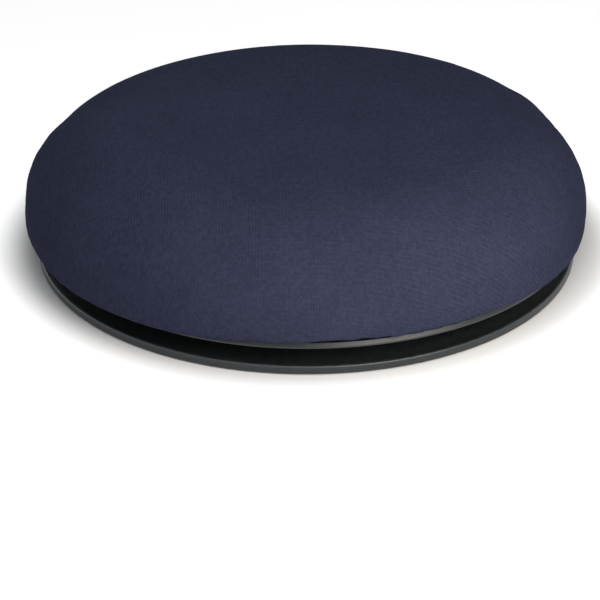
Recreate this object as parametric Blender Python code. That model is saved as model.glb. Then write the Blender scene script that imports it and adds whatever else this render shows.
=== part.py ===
# Swivel seat cushion: a foam ring in a knitted cover, carried by two dished plastic discs
# that turn on a ring of balls. Metres, +Z up, origin on the floor under the pivot.

import math

import bmesh
import bpy
from mathutils import Matrix

MM = 0.001

# Fits
TOUCH = 0.3 * MM  # left between two faces that touch on the real cushion
BALL_PLAY = 0.3 * MM  # round a ball, in its grooves and in its pocket
TURN_PLAY = 0.3 * MM  # round the sleeve and over the nut's washer, which turn in the base disc

# Across: the cushion's widest line sets the rest
CUSHION_RADIUS = 200.0 * MM
DISC_INSET = 8.0 * MM  # of both discs' rims, from the cushion's widest line
RACE_INSET = 62.0 * MM  # of the balls' circle, from the discs' rims
PAD_INSET = 27.0 * MM  # of the anti-slip pads' circle, from the base disc's rim
CREST_INSET = 70.0 * MM  # of the cushion's highest line, from its widest

# Base disc: a dish with its rim up
BASE_WALL = 2.5 * MM
BASE_RIM_HEIGHT = 6.0 * MM
RIM_ROUND = 0.9 * MM
BASE_HUB_RADIUS = 19.0 * MM
FLOOR_FILLET = 1.2 * MM

# Anti-slip pads, let into the underside of the base disc
PAD_COUNT = 6
PAD_RADIUS = 13.0 * MM
PAD_THICKNESS = 1.6 * MM
PAD_PROUD = 0.5 * MM
PAD_CHAMFER = 0.3 * MM

# Ball race between the discs
BALL_DIAMETER = 10.0 * MM
BALL_COUNT = 20
BED_HEIGHT = 4.5 * MM  # of the raised beds that carry the grooves
BED_WIDTH = 17.0 * MM
BED_SLOPE = 2.0 * MM
GROOVE_DEPTH = 1.6 * MM
CAGE_WIDTH = 17.0 * MM
CAGE_THICKNESS = 3.0 * MM

# Seat disc: a lower dish, with its rim up round the cushion
SEAT_WALL = 2.5 * MM
SEAT_RIM_HEIGHT = 4.5 * MM
HUB_RECESS_RADIUS = 24.0 * MM
HUB_RECESS_DEPTH = 4.5 * MM

# Pivot at the centre
BOLT_DIAMETER = 5.0 * MM
BOLT_HEAD_RADIUS = 4.75 * MM
BOLT_HEAD_HEIGHT = 2.4 * MM
BOLT_TAIL = 1.0 * MM  # below the nut
SOCKET_FLATS = 3.0 * MM
SOCKET_DEPTH = 1.4 * MM
HOLE_PLAY = 0.3 * MM  # round the bolt
SLEEVE_RADIUS = 4.5 * MM
TOP_WASHER_RADIUS = 9.0 * MM
TOP_WASHER_THICKNESS = 1.0 * MM
SLIDE_WASHER_RADIUS = 16.0 * MM
SLIDE_WASHER_THICKNESS = 1.5 * MM
NUT_FLATS = 8.0 * MM
NUT_HEIGHT = 4.0 * MM
NUT_WASHER_RADIUS = 6.0 * MM
NUT_WASHER_THICKNESS = 1.0 * MM

# Cushion: heights are above the floor of the seat disc
CUSHION_HEIGHT = 73.0 * MM
WIDEST_HEIGHT = 10.0 * MM
COVER_CLOTH = 1.0 * MM
COVER_SAG = 4.0 * MM  # of the cloth over the hole in the foam
RIM_OVERHANG = 1.5 * MM  # how far outside the rim the cloth turns in
ELASTIC_DIAMETER = 3.4 * MM
HOLE_WAIST_RADIUS = 62.0 * MM
HOLE_WAIST_HEIGHT = 20.0 * MM
HOLE_FOOT_RADIUS = 70.0 * MM

# Facets: how many sides each round shape has
DISC_SIDES = 60
SOFT_SIDES = 36
SMALL_SIDES = 24
PAD_SIDES = 20
POCKET_SIDES = 12

WELD_DISTANCE = 0.001 * MM
SHARP_ANGLE = math.radians(32)

# Distances from the pivot's axis
disc_radius = CUSHION_RADIUS - DISC_INSET
race_radius = disc_radius - RACE_INSET
pad_circle_radius = disc_radius - PAD_INSET
crest_radius = CUSHION_RADIUS - CREST_INSET
hole_radius = BOLT_DIAMETER / 2 + HOLE_PLAY

# Heights, worked out from the floor upwards
ball_radius = BALL_DIAMETER / 2
groove_radius = ball_radius + BALL_PLAY
base_bottom = PAD_PROUD
base_floor = base_bottom + BASE_WALL
base_rim_top = base_bottom + BASE_RIM_HEIGHT
lower_crest = base_floor + BED_HEIGHT
race_height = lower_crest - GROOVE_DEPTH + groove_radius
upper_crest = race_height + groove_radius - GROOVE_DEPTH
seat_bottom = upper_crest + BED_HEIGHT
seat_floor = seat_bottom + SEAT_WALL
seat_rim_top = seat_bottom + SEAT_RIM_HEIGHT
hub_recess_floor = seat_floor - HUB_RECESS_DEPTH
hub_recess_bottom = hub_recess_floor - SEAT_WALL
slide_washer_bottom = hub_recess_bottom - TOUCH - SLIDE_WASHER_THICKNESS
base_hub_top = slide_washer_bottom - TOUCH
base_hub_ceiling = base_hub_top - BASE_WALL
top_washer_bottom = hub_recess_floor + TOUCH
top_washer_top = top_washer_bottom + TOP_WASHER_THICKNESS
bolt_head_bottom = top_washer_top + TOUCH
sleeve_top = hub_recess_bottom - TOUCH
nut_washer_top = base_hub_ceiling - TURN_PLAY
nut_washer_bottom = nut_washer_top - NUT_WASHER_THICKNESS
sleeve_bottom = nut_washer_top + TOUCH
nut_top = nut_washer_bottom - TOUCH
nut_bottom = nut_top - NUT_HEIGHT
widest_height = seat_floor + WIDEST_HEIGHT
crest_height = seat_floor + CUSHION_HEIGHT


def flats_inside(radius, sides):
    # The circle that the flat sides of a faceted round shape of this radius touch.
    return radius * math.cos(math.pi / sides)


def flats_outside(radius, sides):
    # The radius of a faceted round shape whose flat sides lie at least this far out.
    return radius / math.cos(math.pi / sides)


def arc(centre, reach, start, end, steps):
    # Points along an ellipse, from one angle to the other, in degrees from straight outwards.
    points = []
    for step in range(steps + 1):
        angle = math.radians(start + (end - start) * step / steps)
        across = centre[0] + reach[0] * math.cos(angle)
        up = centre[1] + reach[1] * math.sin(angle)
        points.append((across, up))
    return points


def new_material(name, colour, roughness, metallic=0.0):
    material = bpy.data.materials.new(name)
    material.use_nodes = True
    material.diffuse_color = (*colour, 1.0)
    shader = material.node_tree.nodes["Principled BSDF"]
    shader.inputs["Base Color"].default_value = (*colour, 1.0)
    shader.inputs["Roughness"].default_value = roughness
    shader.inputs["Metallic"].default_value = metallic
    return material


def new_object(name, mesh, material, carrier):
    obj = bpy.data.objects.new(name, mesh)
    bpy.context.scene.collection.objects.link(obj)
    obj.parent = carrier
    if material is not None:
        mesh.materials.clear()
        mesh.materials.append(material)
    return obj


def finished_mesh(name, work):
    bmesh.ops.remove_doubles(work, verts=work.verts, dist=WELD_DISTANCE)
    bmesh.ops.recalc_face_normals(work, faces=work.faces)
    mesh = bpy.data.meshes.new(name)
    work.to_mesh(mesh)
    work.free()
    mesh.shade_smooth()
    mesh.set_sharp_from_angle(angle=SHARP_ANGLE)
    return mesh


def turned_mesh(name, profile, sides):
    # Turns a profile of (distance from the axis, height) points round the Z axis.
    # A profile that starts and ends on the axis stays open there, and any other is closed.
    work = bmesh.new()
    corners = [work.verts.new((across, 0.0, up)) for across, up in profile]
    edges = [work.edges.new(pair) for pair in zip(corners, corners[1:])]
    on_axis = profile[0][0] == 0.0 and profile[-1][0] == 0.0
    if not on_axis:
        edges.append(work.edges.new((corners[-1], corners[0])))
    bmesh.ops.spin(
        work,
        geom=corners + edges,
        cent=(0, 0, 0),
        axis=(0, 0, 1),
        angle=math.tau,
        steps=sides,
        use_merge=True,
    )
    return finished_mesh(name, work)


def ring_profile(inner, outer, bottom, top):
    return [(inner, bottom), (outer, bottom), (outer, top), (inner, top)]


def add_cylinder(work, sides, radius, bottom, top, x=0.0, y=0.0):
    bmesh.ops.create_cone(
        work,
        cap_ends=True,
        segments=sides,
        radius1=radius,
        radius2=radius,
        depth=top - bottom,
        matrix=Matrix.Translation((x, y, (top + bottom) / 2)),
    )


def round_places(count, radius):
    for index in range(count):
        angle = math.tau * index / count
        yield index, radius * math.cos(angle), radius * math.sin(angle)


def cut(obj, work):
    # Cuts the shapes in this mesh out of the object.
    cutter = new_object(obj.name + "_cutter", finished_mesh(obj.name + "_cutter", work), None, obj.parent)
    cutter.hide_render = True
    cutter.display_type = "WIRE"
    boolean = obj.modifiers.new("cut", "BOOLEAN")
    boolean.operation = "DIFFERENCE"
    boolean.solver = "EXACT"
    boolean.object = cutter


def add_carrier(name):
    # An empty on the pivot's axis, which everything that turns together hangs from.
    carrier = bpy.data.objects.new(name, None)
    carrier.empty_display_size = disc_radius
    bpy.context.scene.collection.objects.link(carrier)
    return carrier


def groove(direction):
    # The groove's cross-section, below the balls for -1 and above them for +1, from outside in.
    half_angle = math.degrees(math.acos((groove_radius - GROOVE_DEPTH) / groove_radius))
    middle = 90.0 * direction
    start = middle + direction * -half_angle
    end = middle + direction * half_angle
    return arc((race_radius, race_height), (groove_radius, groove_radius), start, end, 4)


def build_base_disc(carrier, plastic):
    bed = BED_WIDTH / 2
    hollow = bed + BED_SLOPE - BASE_WALL
    hollow_top = lower_crest - GROOVE_DEPTH - BASE_WALL
    inside = disc_radius - BASE_WALL
    hub_inside = BASE_HUB_RADIUS - BASE_WALL
    sleeve_hole = flats_outside(SLEEVE_RADIUS + TURN_PLAY, DISC_SIDES)
    profile = [(disc_radius - RIM_ROUND, base_bottom), (disc_radius, base_bottom + RIM_ROUND)]
    rim_centre = (disc_radius - RIM_ROUND, base_rim_top - RIM_ROUND)
    profile += arc(rim_centre, (RIM_ROUND, RIM_ROUND), 0, 90, 2)
    profile += [
        (inside + RIM_ROUND / 2, base_rim_top),
        (inside, base_rim_top - RIM_ROUND / 2),
        (inside, base_floor + FLOOR_FILLET),
        (inside - FLOOR_FILLET, base_floor),
        (race_radius + bed + BED_SLOPE, base_floor),
        (race_radius + bed, lower_crest),
    ]
    profile += groove(-1)
    profile += [
        (race_radius - bed, lower_crest),
        (race_radius - bed - BED_SLOPE, base_floor),
        (BASE_HUB_RADIUS + FLOOR_FILLET, base_floor),
        (BASE_HUB_RADIUS, base_floor + FLOOR_FILLET),
        (BASE_HUB_RADIUS, base_hub_top - RIM_ROUND),
        (BASE_HUB_RADIUS - RIM_ROUND, base_hub_top),
        (sleeve_hole, base_hub_top),
        (sleeve_hole, base_hub_ceiling),
        (hub_inside, base_hub_ceiling),
        (hub_inside, base_bottom),
        (race_radius - hollow, base_bottom),
        (race_radius - hollow, hollow_top),
        (race_radius + hollow, hollow_top),
        (race_radius + hollow, base_bottom),
    ]
    disc = new_object("base_disc", turned_mesh("base_disc", profile, DISC_SIDES), plastic, carrier)
    recesses = bmesh.new()
    recess_radius = flats_outside(PAD_RADIUS + TOUCH, PAD_SIDES)
    recess_top = PAD_THICKNESS + TOUCH
    for _, x, y in round_places(PAD_COUNT, pad_circle_radius):
        add_cylinder(recesses, PAD_SIDES, recess_radius, -base_bottom, recess_top, x, y)
    cut(disc, recesses)


def build_pads(carrier, rubber):
    profile = [
        (0.0, 0.0),
        (PAD_RADIUS - PAD_CHAMFER, 0.0),
        (PAD_RADIUS, PAD_CHAMFER),
        (PAD_RADIUS, PAD_THICKNESS),
        (0.0, PAD_THICKNESS),
    ]
    mesh = turned_mesh("grip_pad", profile, PAD_SIDES)
    for index, x, y in round_places(PAD_COUNT, pad_circle_radius):
        pad = new_object(f"grip_pad_{index + 1}", mesh, rubber, carrier)
        pad.location = (x, y, 0.0)


def build_ball_cage(carrier, plastic):
    inner = race_radius - CAGE_WIDTH / 2
    outer = race_radius + CAGE_WIDTH / 2
    bottom = race_height - CAGE_THICKNESS / 2
    top = race_height + CAGE_THICKNESS / 2
    profile = ring_profile(inner, outer, bottom, top)
    cage = new_object("ball_cage", turned_mesh("ball_cage", profile, DISC_SIDES), plastic, carrier)
    pockets = bmesh.new()
    pocket_radius = flats_outside(ball_radius + BALL_PLAY, POCKET_SIDES)
    for _, x, y in round_places(BALL_COUNT, race_radius):
        reach = (bottom - CAGE_THICKNESS, top + CAGE_THICKNESS)
        add_cylinder(pockets, POCKET_SIDES, pocket_radius, *reach, x, y)
    cut(cage, pockets)


def build_balls(carrier, steel):
    work = bmesh.new()
    bmesh.ops.create_uvsphere(work, u_segments=12, v_segments=6, radius=ball_radius)
    mesh = finished_mesh("bearing_ball", work)
    for index, x, y in round_places(BALL_COUNT, race_radius):
        ball = new_object(f"bearing_ball_{index + 1:02d}", mesh, steel, carrier)
        ball.location = (x, y, race_height)


def build_seat_disc(carrier, plastic):
    bed = BED_WIDTH / 2
    hollow = bed + BED_SLOPE - SEAT_WALL
    hollow_floor = upper_crest + GROOVE_DEPTH + SEAT_WALL
    inside = disc_radius - SEAT_WALL
    boss_radius = HUB_RECESS_RADIUS + SEAT_WALL
    bolt_hole = flats_outside(hole_radius, DISC_SIDES)
    profile = [(disc_radius - RIM_ROUND, seat_bottom), (disc_radius, seat_bottom + RIM_ROUND)]
    rim_centre = (disc_radius - RIM_ROUND, seat_rim_top - RIM_ROUND)
    profile += arc(rim_centre, (RIM_ROUND, RIM_ROUND), 0, 90, 2)
    profile += [
        (inside + RIM_ROUND / 2, seat_rim_top),
        (inside, seat_rim_top - RIM_ROUND / 2),
        (inside, seat_floor),
        (race_radius + hollow, seat_floor),
        (race_radius + hollow, hollow_floor),
        (race_radius - hollow, hollow_floor),
        (race_radius - hollow, seat_floor),
        (HUB_RECESS_RADIUS + RIM_ROUND, seat_floor),
        (HUB_RECESS_RADIUS, seat_floor - RIM_ROUND),
        (HUB_RECESS_RADIUS, hub_recess_floor),
        (bolt_hole, hub_recess_floor),
        (bolt_hole, hub_recess_bottom),
        (boss_radius, hub_recess_bottom),
        (boss_radius, seat_bottom),
        (race_radius - bed - BED_SLOPE, seat_bottom),
        (race_radius - bed, upper_crest),
    ]
    profile += reversed(groove(1))
    profile += [
        (race_radius + bed, upper_crest),
        (race_radius + bed + BED_SLOPE, seat_bottom),
    ]
    new_object("seat_disc", turned_mesh("seat_disc", profile, DISC_SIDES), plastic, carrier)


def build_ring(name, radii, heights, material, carrier):
    # A washer or sleeve: its hole's flat sides clear what goes through it.
    profile = ring_profile(flats_outside(radii[0], SMALL_SIDES), radii[1], heights[0], heights[1])
    new_object(name, turned_mesh(name, profile, SMALL_SIDES), material, carrier)


def build_pivot_bolt(carrier, steel):
    shank = BOLT_DIAMETER / 2
    tip = nut_bottom - BOLT_TAIL
    chamfer = shank / 5
    edge = bolt_head_bottom + BOLT_HEAD_HEIGHT / 3
    profile = [(0.0, tip), (shank - chamfer, tip), (shank, tip + chamfer), (shank, bolt_head_bottom)]
    profile += [(BOLT_HEAD_RADIUS, bolt_head_bottom)]
    profile += arc((0.0, edge), (BOLT_HEAD_RADIUS, BOLT_HEAD_HEIGHT * 2 / 3), 0, 75, 4)
    profile += [(0.0, bolt_head_bottom + BOLT_HEAD_HEIGHT)]
    bolt = new_object("pivot_bolt", turned_mesh("pivot_bolt", profile, SMALL_SIDES), steel, carrier)
    socket = bmesh.new()
    top = bolt_head_bottom + BOLT_HEAD_HEIGHT
    add_cylinder(socket, 6, flats_outside(SOCKET_FLATS / 2, 6), top - SOCKET_DEPTH, top + SOCKET_DEPTH)
    cut(bolt, socket)


def build_pivot_nut(carrier, steel):
    # A hexagon outside and a round hole inside, as four rings of points joined in turn.
    work = bmesh.new()
    rings = []
    inner = flats_outside(hole_radius, SMALL_SIDES)
    for hexagonal, height in ((False, nut_bottom), (True, nut_bottom), (True, nut_top), (False, nut_top)):
        ring = []
        for index in range(SMALL_SIDES):
            angle = math.tau * index / SMALL_SIDES
            from_flat = angle % math.radians(60) - math.radians(30)
            radius = NUT_FLATS / 2 / math.cos(from_flat) if hexagonal else inner
            ring.append(work.verts.new((radius * math.cos(angle), radius * math.sin(angle), height)))
        rings.append(ring)
    for ring, following in zip(rings, rings[1:] + rings[:1]):
        for index in range(SMALL_SIDES):
            after = (index + 1) % SMALL_SIDES
            work.faces.new((ring[index], ring[after], following[after], following[index]))
    new_object("pivot_nut", finished_mesh("pivot_nut", work), steel, carrier)


def build_pivot(carrier, steel):
    # The bolt is clamped to the seat disc through the sleeve, and the base disc turns on the sleeve.
    build_pivot_bolt(carrier, steel)
    top_washer = (top_washer_bottom, top_washer_top)
    build_ring("pivot_top_washer", (hole_radius, TOP_WASHER_RADIUS), top_washer, steel, carrier)
    build_ring("pivot_sleeve", (hole_radius, SLEEVE_RADIUS), (sleeve_bottom, sleeve_top), steel, carrier)
    nut_washer = (nut_washer_bottom, nut_washer_top)
    build_ring("pivot_nut_washer", (hole_radius, NUT_WASHER_RADIUS), nut_washer, steel, carrier)
    build_pivot_nut(carrier, steel)


def build_slide_washer(carrier, nylon):
    # It lies on the base disc's hub, and the seat disc's hub slides on it.
    heights = (slide_washer_bottom, slide_washer_bottom + SLIDE_WASHER_THICKNESS)
    radii = (SLEEVE_RADIUS + TURN_PLAY, SLIDE_WASHER_RADIUS)
    build_ring("slide_washer", radii, heights, nylon, carrier)


def cushion_side(inset, over_rim):
    # The cushion's outline from its crest out over the widest line and in above the disc's rim,
    # set back from the cloth's outer face.
    turn_in = disc_radius + RIM_OVERHANG
    across = CUSHION_RADIUS - crest_radius - inset
    up = crest_height - widest_height - inset
    crown = arc((crest_radius, widest_height), (across, up), 90, 0, 6)
    under = arc(
        (turn_in, widest_height),
        (CUSHION_RADIUS - turn_in - inset, widest_height - over_rim),
        0,
        -90,
        3,
    )
    return crown + under[1:]


def bridge(height, steps):
    # The cloth over the hole in the foam, from the middle out to just short of the crest.
    points = []
    for step in range(steps):
        across = crest_radius * step / steps
        dip = COVER_SAG * (1 + math.cos(math.pi * across / crest_radius)) / 2
        points.append((across, height - dip))
    return points


# The hem: a channel of cloth in the corner of the seat disc, open upwards, with the elastic in it
hem_outer = flats_inside(disc_radius - SEAT_WALL, DISC_SIDES) - TOUCH
channel_outer = hem_outer - COVER_CLOTH
elastic_circle_radius = channel_outer - TOUCH - ELASTIC_DIAMETER / 2
channel_inner = elastic_circle_radius - ELASTIC_DIAMETER / 2 - TOUCH
hem_inner = channel_inner - COVER_CLOTH
hem_bottom = seat_floor + TOUCH
channel_bottom = hem_bottom + COVER_CLOTH
elastic_height = channel_bottom + TOUCH + ELASTIC_DIAMETER / 2
hem_top = elastic_height + ELASTIC_DIAMETER / 2
cloth_over_rim = seat_rim_top + TOUCH


def build_cover(carrier, cloth):
    outside = bridge(crest_height, 3) + cushion_side(0.0, cloth_over_rim)
    outside += [
        (hem_outer, cloth_over_rim),
        (hem_outer, hem_bottom),
        (hem_inner, hem_bottom),
        (hem_inner, hem_top),
    ]
    inside = bridge(crest_height - COVER_CLOTH, 3)
    inside += cushion_side(COVER_CLOTH, cloth_over_rim + COVER_CLOTH)
    inside += [
        (channel_outer, cloth_over_rim + COVER_CLOTH),
        (channel_outer, channel_bottom),
        (channel_inner, channel_bottom),
        (channel_inner, hem_top),
    ]
    profile = outside + inside[::-1]
    new_object("seat_cover", turned_mesh("seat_cover", profile, SOFT_SIDES), cloth, carrier)


def build_foam_ring(carrier, foam):
    inset = COVER_CLOTH + TOUCH
    bottom = seat_floor + TOUCH
    waist = seat_floor + HOLE_WAIST_HEIGHT
    flare = (HOLE_FOOT_RADIUS - HOLE_WAIST_RADIUS, waist - bottom)
    profile = arc((HOLE_FOOT_RADIUS, waist), flare, 270, 180, 3)
    slope = (crest_radius - HOLE_WAIST_RADIUS, crest_height - inset - waist)
    profile += arc((crest_radius, waist), slope, 180, 90, 7)[1:-1]
    profile += cushion_side(inset, cloth_over_rim + inset)
    profile += [
        (channel_outer, cloth_over_rim + inset),
        (channel_outer, hem_top + TOUCH),
        (hem_inner - TOUCH, hem_top + TOUCH),
        (hem_inner - TOUCH, bottom),
    ]
    new_object("foam_ring", turned_mesh("foam_ring", profile, SOFT_SIDES), foam, carrier)


def build_hem_elastic(carrier, rubber):
    centre = (elastic_circle_radius, elastic_height)
    reach = (ELASTIC_DIAMETER / 2, ELASTIC_DIAMETER / 2)
    profile = arc(centre, reach, 0, 300, 5)
    new_object("hem_elastic", turned_mesh("hem_elastic", profile, SOFT_SIDES), rubber, carrier)


def build():
    for obj in list(bpy.data.objects):
        bpy.data.objects.remove(obj, do_unlink=True)
    black_plastic = new_material("moulded_black_plastic", (0.012, 0.013, 0.014), 0.35)
    grey_plastic = new_material("cage_plastic", (0.45, 0.45, 0.43), 0.5)
    nylon = new_material("slide_washer_nylon", (0.75, 0.73, 0.66), 0.45)
    rubber = new_material("pad_rubber", (0.02, 0.02, 0.02), 0.8)
    elastic = new_material("hem_elastic_rubber", (0.03, 0.03, 0.035), 0.85)
    steel = new_material("pivot_steel", (0.55, 0.55, 0.54), 0.3, 1.0)
    ball_steel = new_material("ball_steel", (0.62, 0.62, 0.62), 0.12, 1.0)
    foam = new_material("cream_foam", (0.87, 0.74, 0.42), 0.95)
    cloth = new_material("navy_knit", (0.035, 0.036, 0.075), 0.9)

    base = add_carrier("base")
    cage_turn = add_carrier("cage_turn")
    seat_turn = add_carrier("seat_turn")
    build_base_disc(base, black_plastic)
    build_pads(base, rubber)
    build_slide_washer(base, nylon)
    build_ball_cage(cage_turn, grey_plastic)
    build_balls(cage_turn, ball_steel)
    build_seat_disc(seat_turn, black_plastic)
    build_pivot(seat_turn, steel)
    build_foam_ring(seat_turn, foam)
    build_cover(seat_turn, cloth)
    build_hem_elastic(seat_turn, elastic)


build()
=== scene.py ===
# Swivel seat cushion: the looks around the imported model. Metres, +Z up, the camera looks along +Y.

import math

import bmesh
import bpy
import numpy as np
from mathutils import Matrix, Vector


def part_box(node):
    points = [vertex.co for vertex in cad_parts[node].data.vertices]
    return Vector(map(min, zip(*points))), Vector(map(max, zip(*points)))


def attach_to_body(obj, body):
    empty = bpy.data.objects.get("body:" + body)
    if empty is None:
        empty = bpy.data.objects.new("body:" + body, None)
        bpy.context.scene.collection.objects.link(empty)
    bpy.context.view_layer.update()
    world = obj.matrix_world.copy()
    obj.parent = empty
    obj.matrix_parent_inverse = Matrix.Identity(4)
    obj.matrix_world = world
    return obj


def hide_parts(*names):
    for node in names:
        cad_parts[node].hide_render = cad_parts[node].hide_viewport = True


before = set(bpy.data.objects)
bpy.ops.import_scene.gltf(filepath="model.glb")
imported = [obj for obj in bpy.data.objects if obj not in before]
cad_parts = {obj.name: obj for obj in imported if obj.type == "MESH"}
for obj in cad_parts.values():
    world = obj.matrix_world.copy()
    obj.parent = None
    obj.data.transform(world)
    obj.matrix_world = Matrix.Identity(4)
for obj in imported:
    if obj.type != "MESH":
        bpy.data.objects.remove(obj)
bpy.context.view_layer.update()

mm = 0.001
scene = bpy.context.scene


def hexColour(text):
    # An sRGB hex value as the linear colour that Blender's sockets take.
    channels = []
    for start in (1, 3, 5):
        value = int(text[start:start + 2], 16) / 255
        channels.append(value / 12.92 if value <= 0.04045 else ((value + 0.055) / 1.055) ** 2.4)
    return (*channels, 1.0)


def addNode(tree, kind, inputs=(), stops=(), **settings):
    # Adds a node with its settings, and links or fills its inputs, given by name or in their order. A node
    # given as an input stands for its first output. A colour ramp's stops are places and hex colours.
    node = tree.nodes.new(kind)
    for setting, value in settings.items():
        setattr(node, setting, value)
    named = inputs if isinstance(inputs, dict) else dict(enumerate(inputs))
    for socket, value in named.items():
        if isinstance(value, bpy.types.Node):
            value = value.outputs[0]
        if isinstance(value, bpy.types.NodeSocket):
            tree.links.new(value, node.inputs[socket])
        else:
            node.inputs[socket].default_value = value
    for index, (place, colour) in enumerate(stops):
        node.color_ramp.elements[index].position = place
        node.color_ramp.elements[index].color = hexColour(colour)
    return node


def newMaterial(name, uvMap=None):
    # An empty material, its tree, and the places that its patterns follow: a UV map's or else the object's.
    material = bpy.data.materials.new(name)
    material.use_nodes = True
    tree = material.node_tree
    tree.nodes.clear()
    if uvMap:
        return material, tree, addNode(tree, "ShaderNodeUVMap", uv_map=uvMap).outputs["UV"]
    return material, tree, addNode(tree, "ShaderNodeTexCoord").outputs["Object"]


def pattern(place, pitch, **further):
    # The inputs of a pattern whose features are about one pitch wide.
    return {"Vector": place, "Scale": 1 / pitch, **further}


def finishMaterial(material, sockets, height=None, strength=0.0, depth=0.0):
    # The surface's shader, with a relief where a height is given, and the material's output.
    tree = material.node_tree
    if height is not None:
        relief = {"Height": height, "Strength": strength, "Distance": depth}
        sockets["Normal"] = addNode(tree, "ShaderNodeBump", relief)
    shader = addNode(tree, "ShaderNodeBsdfPrincipled", sockets)
    addNode(tree, "ShaderNodeOutputMaterial", {"Surface": shader})
    return material


print("materials")


def mouldedAbs():
    # Black ABS, injection moulded against a fine eroded tool: satin, with a faint grain, a few pale dust
    # specks, hairline scuffs that show only in the gloss, and corners rubbed smooth and a little paler. The
    # paler corners are partly wear and partly a painted highlight, which also lightens the rounded lip of the
    # seat disc.
    material, tree, place = newMaterial("mouldedBlackAbs")
    grain = addNode(tree, "ShaderNodeTexNoise", pattern(place, 0.9 * mm, Detail=3.0))
    cloudy = addNode(tree, "ShaderNodeTexNoise", pattern(place, 24 * mm, Detail=4.0))
    flattened = addNode(tree, "ShaderNodeMapping", {"Vector": place, "Scale": (1.0, 1.0, 9.0)})
    scuffs = addNode(tree, "ShaderNodeTexNoise", pattern(flattened, 5 * mm, Detail=5.0))
    specks = addNode(tree, "ShaderNodeTexVoronoi", pattern(place, 3.2 * mm))
    dust = addNode(tree, "ShaderNodeMapRange", (specks, 0.045, 0.075, 1.0, 0.0))
    dustHere = addNode(tree, "ShaderNodeMapRange", (cloudy, 0.5, 0.62, 0.0, 0.55))
    dusty = addNode(tree, "ShaderNodeMath", (dust, dustHere), operation="MULTIPLY")
    corner = addNode(tree, "ShaderNodeAttribute", attribute_name="rubbedAndHighlit").outputs["Fac"]
    rubbedHere = addNode(tree, "ShaderNodeMapRange", (scuffs, 0.35, 0.6, 0.25, 1.0))
    rubbedAndHighlit = addNode(tree, "ShaderNodeMath", (corner, rubbedHere), operation="MULTIPLY")
    plain = addNode(tree, "ShaderNodeValToRGB", (cloudy,), [(0.3, "#171c1f"), (0.7, "#1d2226")])
    # Corners paler: partly wear, partly a painted highlight.
    paler = {0: rubbedAndHighlit, 6: plain, 7: hexColour("#34383a")}
    wornAndHighlit = addNode(tree, "ShaderNodeMix", paler, data_type="RGBA").outputs[2]
    dustier = {0: dusty, 6: wornAndHighlit, 7: hexColour("#5f6263")}
    colour = addNode(tree, "ShaderNodeMix", dustier, data_type="RGBA").outputs[2]
    satin = addNode(tree, "ShaderNodeMapRange", (scuffs, 0.35, 0.65, 0.34, 0.48))
    roughness = addNode(tree, "ShaderNodeMath", (rubbedAndHighlit, -0.12, satin), operation="MULTIPLY_ADD")
    sockets = {"Base Color": colour, "Roughness": roughness, "IOR": 1.53, "Specular IOR Level": 0.42}
    return finishMaterial(material, sockets, grain, 0.35, 0.05 * mm)


def plainPlastic(name, pale, dark, roughness, grainSize):
    # Unpainted nylon or polyamide, moulded: slightly waxy, mottled where the granulate mixed.
    material, tree, place = newMaterial(name)
    mottle = addNode(tree, "ShaderNodeTexNoise", pattern(place, 9 * mm, Detail=4.0))
    grain = addNode(tree, "ShaderNodeTexNoise", pattern(place, grainSize, Detail=2.0))
    colour = addNode(tree, "ShaderNodeValToRGB", (mottle,), [(0.3, dark), (0.7, pale)])
    waxy = addNode(tree, "ShaderNodeMapRange", (grain, 0.0, 1.0, roughness - 0.06, roughness + 0.06))
    sockets = {"Base Color": colour, "Roughness": waxy, "IOR": 1.53}
    return finishMaterial(material, sockets, grain, 0.3, 0.04 * mm)


def groundSteel(name, colour, roughness, lineSize):
    # Turned or ground steel: fine rings round the axis, bright between them.
    material, tree, place = newMaterial(name)
    flat = addNode(tree, "ShaderNodeVectorMath", (place, (1.0, 1.0, 0.0)), operation="MULTIPLY")
    across = addNode(tree, "ShaderNodeVectorMath", (flat,), operation="LENGTH").outputs["Value"]
    rings = {"W": across, "Scale": 1 / lineSize, "Detail": 3.0}
    lines = addNode(tree, "ShaderNodeTexNoise", rings, noise_dimensions="1D")
    ground = addNode(tree, "ShaderNodeMapRange", (lines, 0.0, 1.0, roughness, roughness * 1.8))
    sockets = {"Base Color": hexColour(colour), "Metallic": 1.0, "Roughness": ground}
    return finishMaterial(material, sockets, lines, 0.2, 0.02 * mm)


def lappedSteel():
    # Bearing steel, ground and lapped to a mirror, with a thin smeared film of grease.
    material, tree, place = newMaterial("lappedBearingSteel")
    film = addNode(tree, "ShaderNodeTexNoise", pattern(place, 4 * mm, Detail=4.0))
    colour = addNode(tree, "ShaderNodeValToRGB", (film,), [(0.35, "#c6c4bd"), (0.6, "#d8d9db")])
    smeared = addNode(tree, "ShaderNodeMapRange", (film, 0.35, 0.6, 0.22, 0.05))
    return finishMaterial(material, {"Base Color": colour, "Metallic": 1.0, "Roughness": smeared})


def padRubber():
    # Moulded synthetic rubber: matt, slightly grey where it has been handled, finely pebbled.
    material, tree, place = newMaterial("mouldedPadRubber")
    pebble = addNode(tree, "ShaderNodeTexVoronoi", pattern(place, 0.8 * mm))
    handled = addNode(tree, "ShaderNodeTexNoise", pattern(place, 8 * mm, Detail=5.0))
    colour = addNode(tree, "ShaderNodeValToRGB", (handled,), [(0.35, "#202124"), (0.7, "#33353a")])
    matt = addNode(tree, "ShaderNodeMapRange", (handled, 0.0, 1.0, 0.7, 0.9))
    sockets = {"Base Color": colour, "Roughness": matt, "IOR": 1.52}
    return finishMaterial(material, sockets, pebble, 0.5, 0.15 * mm)


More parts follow.
